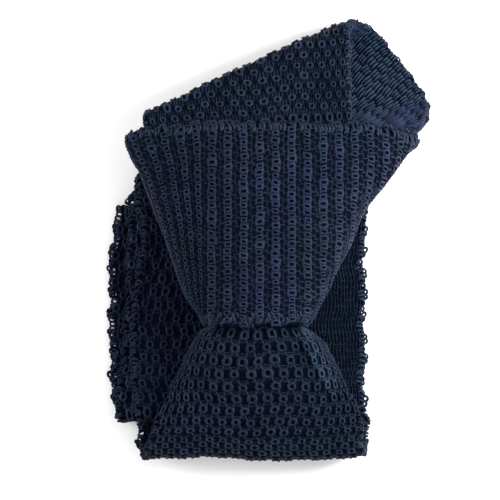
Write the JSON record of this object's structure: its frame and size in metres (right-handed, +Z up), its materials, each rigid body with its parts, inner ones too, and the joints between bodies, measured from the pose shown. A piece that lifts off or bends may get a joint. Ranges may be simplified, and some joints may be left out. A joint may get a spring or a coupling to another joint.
{
  "type": "knit tie",
  "caption": "Navy knit tie, tied and folded into a flat bundle: tapered knot, short neck band folded back over itself, square-ended blade folded under.",
  "frame": {"origin": "on the floor under the middle of the bundle's box, which lies on its back", "axes": "+X to the right across the blade as the knot's face is seen, +Y from the lower fold of the blade to the neck band, +Z up out of the knot's face"},
  "size_m": [0.0764, 0.1062, 0.0279],
  "materials": {
    "knit": "open ribbed knit, dark navy, soft sheen"
  },
  "bodies": {
    "root": {"knot_wrap": "knit", "knot_core": "knit", "neck_band": "knit", "front_blade": "knit", "tail_end": "knit"}
  },
  "joints": []
}
